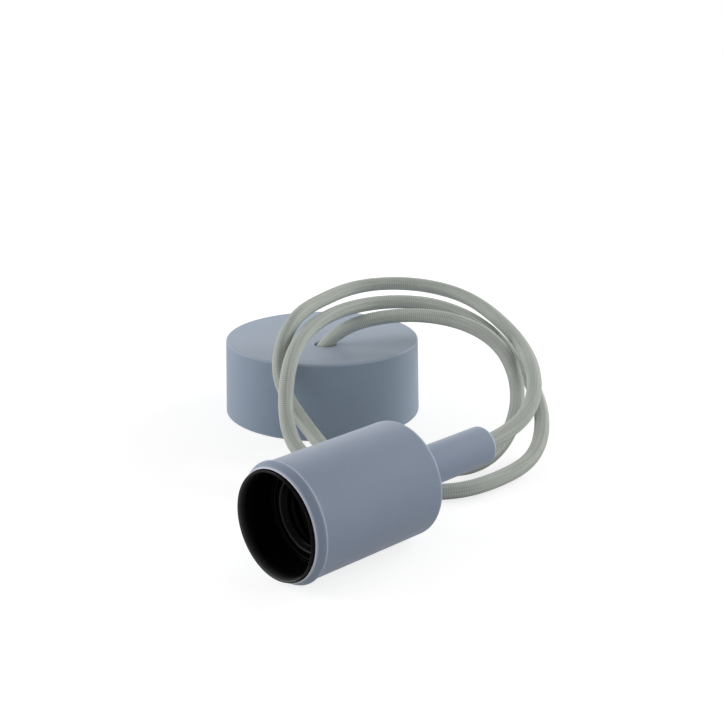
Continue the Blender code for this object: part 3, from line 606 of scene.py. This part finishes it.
# %% Node helpers
def calc(tree, operation, first, second=None, third=None):
    """Math node with its inputs linked or set, giving its output socket."""
    node = tree.nodes.new("ShaderNodeMath")
    node.operation = operation
    for socket, value in zip(node.inputs, (first, second, third)):
        if value is None:
            continue
        if isinstance(value, (int, float)):
            socket.default_value = value
        else:
            tree.links.new(value, socket)
    return node.outputs[0]


def ranged(tree, value, low, high):
    """A value from 0 to 1 stretched so that it runs from low to high."""
    return calc(tree, "MULTIPLY_ADD", value, high - low, low)


def limited(tree, value, low, high):
    """A value kept between two numbers."""
    return calc(tree, "MINIMUM", calc(tree, "MAXIMUM", value, low), high)


def new_group(name, inputs, outputs):
    """Node group with named sockets: inputs are (name, kind, value), outputs (name, kind)."""
    group = bpy.data.node_groups.new(name, "ShaderNodeTree")
    for label, kind, value in inputs:
        socket = group.interface.new_socket(name=label, in_out="INPUT", socket_type=kind)
        if value is not None:
            socket.default_value = value
    for label, kind in outputs:
        group.interface.new_socket(name=label, in_out="OUTPUT", socket_type=kind)
    return group, group.nodes.new("NodeGroupInput"), group.nodes.new("NodeGroupOutput")


def noise(tree, vector, scale, detail, roughness=0.55):
    """Noise texture on a vector, giving its value socket."""
    node = tree.nodes.new("ShaderNodeTexNoise")
    node.inputs["Detail"].default_value = detail
    node.inputs["Roughness"].default_value = roughness
    tree.links.new(vector, node.inputs["Vector"])
    if isinstance(scale, (int, float)):
        node.inputs["Scale"].default_value = scale
    else:
        tree.links.new(scale, node.inputs["Scale"])
    return node.outputs["Fac"]


def use_group(tree, group, vector, **values):
    """Place a group in a material, with its vector linked and its numbers set."""
    node = tree.nodes.new("ShaderNodeGroup")
    node.node_tree = group
    tree.links.new(vector, node.inputs["Vector"])
    for label, value in values.items():
        node.inputs[label].default_value = value
    return node


FLOAT = "NodeSocketFloat"
VECTOR = "NodeSocketVector"

# %% [markdown]
# Mottle, grain and specks.
# Moulded silicone is never one flat colour. Three things break it up: soft clouds from the
# mould's polish, a fine matt grain, and pale specks of dust that its surface holds. Each is
# a group of its own, because the black plastic and the metals need them too.

# %% Shared surface groups
mottle, mottle_in, mottle_out = new_group(
    "soft clouds",
    [("Vector", VECTOR, None), ("Scale", FLOAT, 40.0), ("Contrast", FLOAT, 0.1)],
    [("Shade", FLOAT)],
)
cloud = noise(mottle, mottle_in.outputs["Vector"], mottle_in.outputs["Scale"], 3.0)
cloud = calc(mottle, "SUBTRACT", cloud, 0.5)
cloud = calc(mottle, "MULTIPLY_ADD", cloud, mottle_in.outputs["Contrast"], 1.0)
mottle.links.new(cloud, mottle_out.inputs["Shade"])

grain, grain_in, grain_out = new_group(
    "fine grain",
    [("Vector", VECTOR, None), ("Scale", FLOAT, 4000.0)],
    [("Height", FLOAT)],
)
coarse = noise(grain, grain_in.outputs["Vector"], grain_in.outputs["Scale"], 2.0)
quarter = calc(grain, "MULTIPLY", grain_in.outputs["Scale"], 0.12)
slow = noise(grain, grain_in.outputs["Vector"], quarter, 1.0)
grain_height = calc(grain, "MULTIPLY_ADD", slow, 0.8, coarse)
grain.links.new(grain_height, grain_out.inputs["Height"])

specks, specks_in, specks_out = new_group(
    "dust specks",
    [("Vector", VECTOR, None), ("Scale", FLOAT, 900.0), ("Amount", FLOAT, 0.2)],
    [("Mask", FLOAT)],
)
cells = specks.nodes.new("ShaderNodeTexVoronoi")
specks.links.new(specks_in.outputs["Vector"], cells.inputs["Vector"])
specks.links.new(specks_in.outputs["Scale"], cells.inputs["Scale"])
split = specks.nodes.new("ShaderNodeSeparateColor")
specks.links.new(cells.outputs["Color"], split.inputs["Color"])
chosen = calc(specks, "LESS_THAN", split.outputs["Red"], specks_in.outputs["Amount"])
size = ranged(specks, split.outputs["Green"], 0.06, 0.28)
inside = calc(specks, "SUBTRACT", 1.0, calc(specks, "DIVIDE", cells.outputs["Distance"], size))
inside = calc(specks, "MAXIMUM", inside, 0.0)
specks.links.new(calc(specks, "MULTIPLY", inside, chosen), specks_out.inputs["Mask"])
print("shared groups:", mottle.name, grain.name, specks.name, sep=", ")

# %% [markdown]
# The braid.
# The mesh of the cord already has the ribs, one quad to a column. The yarns inside a rib are
# finer than that, so they are drawn by a pattern that follows the surface. It reads the cord's
# own map: the share of a turn, and the distance along. A triangle wave over the columns bends
# the ribs into the same zigzag as in the mesh. Each rib gets the rounded back of a yarn, and the
# lines between the columns and between the ribs are sunk. A second group stretches a noise
# along the cord, because yarns that were pulled tighter than others show as long streaks.

# %% Braid groups
braid, braid_in, braid_out = new_group(
    "textile braid",
    [("Vector", VECTOR, None), ("Columns", FLOAT, 24.0), ("Pitch", FLOAT, 0.0011),
     ("Zigzag", FLOAT, 0.25)],
    [("Height", FLOAT), ("Groove", FLOAT), ("Yarn", FLOAT)],
)
place = braid.nodes.new("ShaderNodeSeparateXYZ")
braid.links.new(braid_in.outputs["Vector"], place.inputs[0])
column = calc(braid, "MULTIPLY", place.outputs["X"], braid_in.outputs["Columns"])
wave = calc(braid, "PINGPONG", column, 1.0)
rib = calc(braid, "DIVIDE", place.outputs["Y"], braid_in.outputs["Pitch"])
rib = calc(braid, "MULTIPLY_ADD", wave, braid_in.outputs["Zigzag"], rib)
rib_offset = ranged(braid, calc(braid, "FRACT", rib), -1.0, 1.0)
rib_back = calc(braid, "SUBTRACT", 1.0, calc(braid, "MULTIPLY", rib_offset, rib_offset))
column_offset = ranged(braid, calc(braid, "FRACT", column), -1.0, 1.0)
column_edge = calc(braid, "POWER", calc(braid, "ABSOLUTE", column_offset), 4.0)
yarn_height = calc(braid, "MULTIPLY_ADD", column_edge, -0.35, rib_back)
strand = calc(braid, "FRACT", calc(braid, "MULTIPLY", rib, 3.0))
braid.links.new(yarn_height, braid_out.inputs["Height"])
braid.links.new(calc(braid, "SUBTRACT", 1.0, yarn_height), braid_out.inputs["Groove"])
braid.links.new(calc(braid, "PINGPONG", strand, 0.5), braid_out.inputs["Yarn"])

streaks, streaks_in, streaks_out = new_group(
    "lengthwise streaks",
    [("Vector", VECTOR, None), ("Around", FLOAT, 30.0), ("Along", FLOAT, 8.0)],
    [("Line", FLOAT)],
)
spread = streaks.nodes.new("ShaderNodeCombineXYZ")
streaks.links.new(streaks_in.outputs["Around"], spread.inputs[0])
streaks.links.new(streaks_in.outputs["Along"], spread.inputs[1])
stretched = streaks.nodes.new("ShaderNodeVectorMath")
stretched.operation = "MULTIPLY"
streaks.links.new(streaks_in.outputs["Vector"], stretched.inputs[0])
streaks.links.new(spread.outputs[0], stretched.inputs[1])
streaks.links.new(noise(streaks, stretched.outputs[0], 1.0, 1.0), streaks_out.inputs["Line"])
print("cord groups:", braid.name, streaks.name, sep=", ")

# %% [markdown]
# Finishing each material.
# One function starts a material with its plain numbers set on the shader itself, and gives
# the coordinates to work on. Small ones scale a colour, tint it towards another, read the
# edges marked for painted highlights and reflections, and add a bump. The silicone, the cord
# and the black plastic then each get a cell of their own.

# %% Material helpers
def start_material(name, roughness, metallic=0.0, **extra):
    """Principled material with its plain numbers set, and its Object coordinates."""
    look = bpy.data.materials.new(name)
    look.use_nodes = True
    tree = look.node_tree
    shader = tree.nodes["Principled BSDF"]
    shader.inputs["Roughness"].default_value = roughness
    shader.inputs["Metallic"].default_value = metallic
    for label, value in extra.items():
        shader.inputs[label.replace("_", " ")].default_value = value
    coordinates = tree.nodes.new("ShaderNodeTexCoord")
    return look, tree, shader, coordinates.outputs["Object"]


def shaded_colour(tree, colour, shade):
    """A colour made lighter or darker by a number from a group."""
    node = tree.nodes.new("ShaderNodeVectorMath")
    node.operation = "SCALE"
    node.inputs[0].default_value = colour
    tree.links.new(shade, node.inputs["Scale"])
    return node.outputs[0]


def tinted(tree, colour, other, share):
    """Mix of a linked colour with a fixed one by a mask."""
    node = tree.nodes.new("ShaderNodeMix")
    node.data_type = "RGBA"
    tree.links.new(share, node.inputs["Factor"])
    tree.links.new(colour, node.inputs[6])
    node.inputs[7].default_value = (*other, 1.0)
    return node.outputs[2]


def painted_light_mask(tree):
    """The point attribute that marks where highlights and reflections are painted, as a mask."""
    node = tree.nodes.new("ShaderNodeAttribute")
    node.attribute_name = "painted_light"
    return node.outputs["Fac"]


def bump(tree, shader, height, distance, strength):
    """Bump node on a height, linked to the shader's normal."""
    node = tree.nodes.new("ShaderNodeBump")
    node.inputs["Strength"].default_value = strength
    node.inputs["Distance"].default_value = distance
    tree.links.new(height, node.inputs["Height"])
    tree.links.new(node.outputs["Normal"], shader.inputs["Normal"])


def dress(piece, look):
    """Give a piece one material."""
    piece.data.materials.clear()
    piece.data.materials.append(look)
    print(piece.name, "wears", look.name)


# %% [markdown]
# Silicone.
# The photograph shows a blue-grey rubber with a dry, powdery face. It has no hard highlight,
# and it gets paler towards its outline, which is what a sheen layer does. The marked edges
# are mixed towards a pale grey as painted highlights, less so on the canopy, and a few specks
# of dust sit on top.

# %% Silicone material
CANOPY_SILICONE = (0.258, 0.322, 0.412)
SLEEVE_SILICONE = (0.251, 0.303, 0.398)
# Pale grey painted on the marked edges as highlights.
SILICONE_PAINTED_HIGHLIGHT = (0.80, 0.82, 0.94)
SILICONE_DUST = (0.46, 0.50, 0.56)


def silicone_material(name, base, highlight_share):
    """Base colour with clouds, painted highlights on the marked edges, dust specks, a wandering
    roughness and a grain.
    """
    look, tree, shader, spot = start_material(
        name, 0.62, Sheen_Weight=0.25, Sheen_Roughness=0.45, Specular_IOR_Level=0.35
    )
    clouds = use_group(tree, mottle, spot, Scale=38.0, Contrast=0.10)
    colour = shaded_colour(tree, base, clouds.outputs["Shade"])
    # Painted highlights on the marked edges.
    paled = calc(tree, "MULTIPLY", painted_light_mask(tree), highlight_share)
    colour = tinted(tree, colour, SILICONE_PAINTED_HIGHLIGHT, paled)
    dust = use_group(tree, specks, spot, Scale=620.0, Amount=0.05)
    colour = tinted(tree, colour, SILICONE_DUST, calc(tree, "MULTIPLY", dust.outputs["Mask"], 0.6))
    tree.links.new(colour, shader.inputs["Base Color"])
    matt = ranged(tree, noise(tree, spot, 120.0, 3.0), 0.54, 0.70)
    tree.links.new(matt, shader.inputs["Roughness"])
    skin = use_group(tree, grain, spot, Scale=3200.0)
    bump(tree, shader, skin.outputs["Height"], 0.00003, 0.5)
    return look


dress(canopy, silicone_material("canopy silicone", CANOPY_SILICONE, 0.2))
dress(sleeve, silicone_material("sleeve silicone", SLEEVE_SILICONE, 1.0))

# %% [markdown]
# Textile.
# The yarn is a matt grey with a trace of green. The grooves between the ribs get a painted
# shade, but not everywhere: where the braid is tight the ribs almost vanish, and where it is
# loose they are clear. Fine lengthwise lines change the tone, and here and there a row of
# brighter stitches shows. One streak group, placed three times with other numbers, gives all of
# these.
# A weak sheen stands for the loose fibres on the outline.

# %% Cord material
YARN = (0.540, 0.575, 0.528)
# Painted shade for the grooves between the ribs.
YARN_GROOVE_SHADE = (0.22, 0.236, 0.214)
YARN_BRIGHT = (0.86, 0.88, 0.85)

textile, tree, shader, spot = start_material(
    "grey textile braid", 0.92, Sheen_Weight=0.08, Sheen_Roughness=0.5, Specular_IOR_Level=0.1
)
cord_map = tree.nodes.new("ShaderNodeUVMap")
cord_map.uv_map = "surface"
weave = use_group(tree, braid, cord_map.outputs["UV"], Columns=float(BRAID_COLUMNS),
                  Pitch=RIB_PITCH, Zigzag=ZIGZAG)
clouds = use_group(tree, mottle, spot, Scale=90.0, Contrast=0.22)
fibres = ranged(tree, weave.outputs["Yarn"], 0.96, 1.12)
lengthwise = use_group(tree, streaks, cord_map.outputs["UV"], Around=38.0, Along=14.0)
lines = ranged(tree, lengthwise.outputs["Line"], 0.72, 1.28)
tone = calc(tree, "MULTIPLY", calc(tree, "MULTIPLY", clouds.outputs["Shade"], fibres), lines)
colour = shaded_colour(tree, YARN, tone)
# Painted shade in the grooves, stronger where the braid is loose.
groove = calc(tree, "POWER", weave.outputs["Groove"], 1.4)
looseness = use_group(tree, streaks, cord_map.outputs["UV"], Around=13.0, Along=24.0)
rib_share = limited(tree, ranged(tree, looseness.outputs["Line"], -0.70, 1.70), 0.32, 1.0)
colour = tinted(tree, colour, YARN_GROOVE_SHADE, calc(tree, "MULTIPLY", groove, rib_share))
bright_row = use_group(tree, streaks, cord_map.outputs["UV"], Around=21.0, Along=9.0)
bright_share = limited(tree, ranged(tree, bright_row.outputs["Line"], -4.7, 3.3), 0.0, 0.7)
yarn_back = calc(tree, "POWER", calc(tree, "MAXIMUM", weave.outputs["Height"], 0.0), 3.0)
colour = tinted(tree, colour, YARN_BRIGHT, calc(tree, "MULTIPLY", bright_share, yarn_back))
tree.links.new(colour, shader.inputs["Base Color"])
fuzz = use_group(tree, grain, spot, Scale=5200.0)
relief = calc(tree, "MULTIPLY_ADD", fuzz.outputs["Height"], 0.12, weave.outputs["Height"])
bump(tree, shader, relief, 0.00006, 0.7)
dress(cord, textile)

# %% [markdown]
# Black plastic.
# The shell is a hard, heat-proof plastic. It is black and glossy, with fine marks from the
# mould and a little dust, so its highlights are broken and not mirror-clean. The marked edges
# are mixed towards a grey as painted highlights, and as a painted reflection on the inner side
# of the lip. The dust specks take the same grey.

# %% Black plastic material
BLACK = (0.0035, 0.0035, 0.0037)
# Grey for painted highlights, for the lip's painted reflection and for dust.
BLACK_PAINTED_LIGHT_AND_DUST = (0.17, 0.17, 0.172)

black, tree, shader, spot = start_material("glossy black plastic", 0.22, Specular_IOR_Level=0.03)
clouds = use_group(tree, mottle, spot, Scale=160.0, Contrast=0.5)
colour = shaded_colour(tree, BLACK, clouds.outputs["Shade"])
# Painted highlights and reflection on the marked edges.
colour = tinted(tree, colour, BLACK_PAINTED_LIGHT_AND_DUST, painted_light_mask(tree))
dust = use_group(tree, specks, spot, Scale=700.0, Amount=0.04)
colour = tinted(tree, colour, BLACK_PAINTED_LIGHT_AND_DUST, calc(tree, "MULTIPLY", dust.outputs["Mask"], 0.5))
tree.links.new(colour, shader.inputs["Base Color"])
gloss = ranged(tree, noise(tree, spot, 300.0, 3.0), 0.16, 0.32)
tree.links.new(gloss, shader.inputs["Roughness"])
skin = use_group(tree, grain, spot, Scale=1500.0)
bump(tree, shader, skin.outputs["Height"], 0.00002, 0.35)
for piece in (shell, insert, nodes["contact_carrier"], nodes["holder_cap"]):
    dress(piece, black)

# %% [markdown]
# What is inside.
# The ceiling plate, the terminals, the screws and the wires keep the solids of the frame and
# only need their finish. Zinc-plated steel is grey and slightly streaked, brass is warmer and
# stained in places, and the plastics are plain. One function makes all of them.

# %% Inner materials
ROUGHNESS_SPREAD = 0.1


def inner_material(name, colour, stain, roughness, metallic, contrast):
    """Colour with clouds and stains, a roughness that wanders and a fine grain."""
    look, tree, shader, spot = start_material(name, roughness, metallic)
    clouds = use_group(tree, mottle, spot, Scale=130.0, Contrast=contrast)
    tone = shaded_colour(tree, colour, clouds.outputs["Shade"])
    dust = use_group(tree, specks, spot, Scale=500.0, Amount=0.12)
    tone = tinted(tree, tone, stain, calc(tree, "MULTIPLY", dust.outputs["Mask"], 0.5))
    tree.links.new(tone, shader.inputs["Base Color"])
    wander = ranged(tree, noise(tree, spot, 220.0, 3.0),
                    roughness - ROUGHNESS_SPREAD, roughness + ROUGHNESS_SPREAD)
    tree.links.new(wander, shader.inputs["Roughness"])
    skin = use_group(tree, grain, spot, Scale=2200.0)
    bump(tree, shader, skin.outputs["Height"], 0.00002, 0.4)
    return look


# Each finish: name, colour, stain, roughness, metallic and contrast of its clouds
INNER_FINISHES = {
    "steel": ("zinc-plated steel", (0.55, 0.56, 0.57), (0.35, 0.35, 0.34), 0.35, 1.0, 0.2),
    "brass": ("bare brass", (0.70, 0.50, 0.22), (0.38, 0.24, 0.10), 0.32, 1.0, 0.3),
    "white_plastic": ("white nylon", (0.74, 0.73, 0.69), (0.60, 0.58, 0.54), 0.5, 0.0, 0.08),
    "brown_insulation": ("brown wire", (0.11, 0.04, 0.018), (0.2, 0.1, 0.06), 0.45, 0.0, 0.2),
    "blue_insulation": ("blue wire", (0.02, 0.11, 0.42), (0.1, 0.2, 0.5), 0.45, 0.0, 0.2),
}
inner_looks = {slot: inner_material(*finish) for slot, finish in INNER_FINISHES.items()}
for subpart in frame["record"]["subparts"]:
    look = inner_looks.get(subpart["material_slot"])
    if look is not None:
        dress(nodes[subpart["node"]], look)

# %% [markdown]
# The floor.
# The photograph has a pure white background. A floor lit until it is white would throw too
# much light back up, and the undersides of the loops would lose their shade. So the floor is
# a mid grey that also glows for the rays that look at it: the two together are white near the
# lamp, where it still takes a soft shadow, and the glow rises to full white further out.

# %% Floor
FLOOR_SIZE = 6.0
FLOOR_WHITE = (0.38, 0.38, 0.38, 1.0)
FLOOR_BOUNCE = (0.50, 0.50, 0.50, 1.0)
GLOW_NEAR = 0.74
GLOW_FAR = 1.00
GLOW_START = 0.12
GLOW_END = 0.55

half = FLOOR_SIZE / 2.0
floor_mesh = bpy.data.meshes.new("floor")
floor_corners = [(-half, -half, 0.0), (half, -half, 0.0), (half, half, 0.0), (-half, half, 0.0)]
floor_mesh.from_pydata(floor_corners, [], [(0, 1, 2, 3)])
floor = bpy.data.objects.new("floor", floor_mesh)
bpy.context.scene.collection.objects.link(floor)


def seen_ray(tree):
    """1 for rays that show the background itself: camera, glossy or transmitted rays."""
    path = tree.nodes.new("ShaderNodeLightPath")
    seen = calc(tree, "MAXIMUM", path.outputs["Is Camera Ray"], path.outputs["Is Glossy Ray"])
    return calc(tree, "MAXIMUM", seen, path.outputs["Is Transmission Ray"])


paper = bpy.data.materials.new("white paper")
paper.use_nodes = True
tree = paper.node_tree
tree.nodes.clear()
seen = seen_ray(tree)
paint = tree.nodes.new("ShaderNodeMix")
paint.data_type = "RGBA"
tree.links.new(seen, paint.inputs["Factor"])
paint.inputs[6].default_value = FLOOR_BOUNCE
paint.inputs[7].default_value = FLOOR_WHITE
matte = tree.nodes.new("ShaderNodeBsdfDiffuse")
tree.links.new(paint.outputs[2], matte.inputs["Color"])
ground = tree.nodes.new("ShaderNodeTexCoord")
from_middle = tree.nodes.new("ShaderNodeVectorMath")
from_middle.operation = "LENGTH"
tree.links.new(ground.outputs["Object"], from_middle.inputs[0])
rising = tree.nodes.new("ShaderNodeMapRange")
tree.links.new(from_middle.outputs["Value"], rising.inputs["Value"])
rising.inputs["From Min"].default_value = GLOW_START
rising.inputs["From Max"].default_value = GLOW_END
rising.inputs["To Min"].default_value = GLOW_NEAR
rising.inputs["To Max"].default_value = GLOW_FAR
glow = tree.nodes.new("ShaderNodeEmission")
tree.links.new(calc(tree, "MULTIPLY", seen, rising.outputs["Result"]), glow.inputs["Strength"])
both = tree.nodes.new("ShaderNodeAddShader")
tree.links.new(matte.outputs[0], both.inputs[0])
tree.links.new(glow.outputs[0], both.inputs[1])
output = tree.nodes.new("ShaderNodeOutputMaterial")
tree.links.new(both.outputs[0], output.inputs["Surface"])
floor_mesh.materials.append(paper)
print("floor, m:", FLOOR_SIZE, "glow near the lamp:", GLOW_NEAR)

# %% [markdown]
# Light.
# The light in the photograph is soft and comes from both sides and from behind, with little
# from the front. One big lamp would leave a hard shadow. Five square soft boxes stand round
# the lamp instead, all at one distance, each with a bearing, an elevation and a power. The
# world is white to the camera and gives only a weak light to the object.

# %% World and lamps
WORLD_LIGHT = 0.27
LAMP_TARGET = (-0.03, -0.05, 0.02)
LAMP_DISTANCE = 1.05
LAMP_SIZE = 0.70
# Each soft box: degrees right of the camera's heading, elevation and power
SOFT_BOXES = {
    "back_box": (0.0, 32.0, 1.7),
    "left_back_box": (-58.0, 20.0, 1.3),
    "right_back_box": (58.0, 20.0, 7.3),
    "left_box": (-90.0, 16.7, 6.6),
    "right_front_box": (128.7, 20.0, 2.6),
}

world = bpy.data.worlds.new("white studio")
bpy.context.scene.world = world
world.use_nodes = True
tree = world.node_tree
background = tree.nodes["Background"]
background.inputs["Color"].default_value = (1.0, 1.0, 1.0, 1.0)
strength = calc(tree, "MULTIPLY_ADD", seen_ray(tree), 1.0 - WORLD_LIGHT, WORLD_LIGHT)
tree.links.new(strength, background.inputs["Strength"])


def soft_box(name, bearing, elevation, power):
    """Square area lamp round the target, aimed back at it.

    Its heading is the camera's heading plus the bearing, and its direction from the target is
    level by the cosine of the elevation and upwards by the sine.
    """
    data = bpy.data.lights.new(name, "AREA")
    data.shape = "SQUARE"
    data.size = LAMP_SIZE
    data.energy = power
    lamp = bpy.data.objects.new(name, data)
    bpy.context.scene.collection.objects.link(lamp)
    heading = math.radians(bearing - CAMERA_HEADING)
    rise = math.radians(elevation)
    towards = np.array([math.sin(heading) * math.cos(rise), math.cos(heading) * math.cos(rise),
                        math.sin(rise)])
    lamp.location = np.array(LAMP_TARGET) + LAMP_DISTANCE * towards
    lamp.rotation_euler = (math.radians(90.0) - rise, 0.0, math.pi - heading)


for name, (bearing, elevation, power) in SOFT_BOXES.items():
    soft_box(name, bearing, elevation, power)
print("soft boxes, W:", {name: power for name, (_, _, power) in SOFT_BOXES.items()})
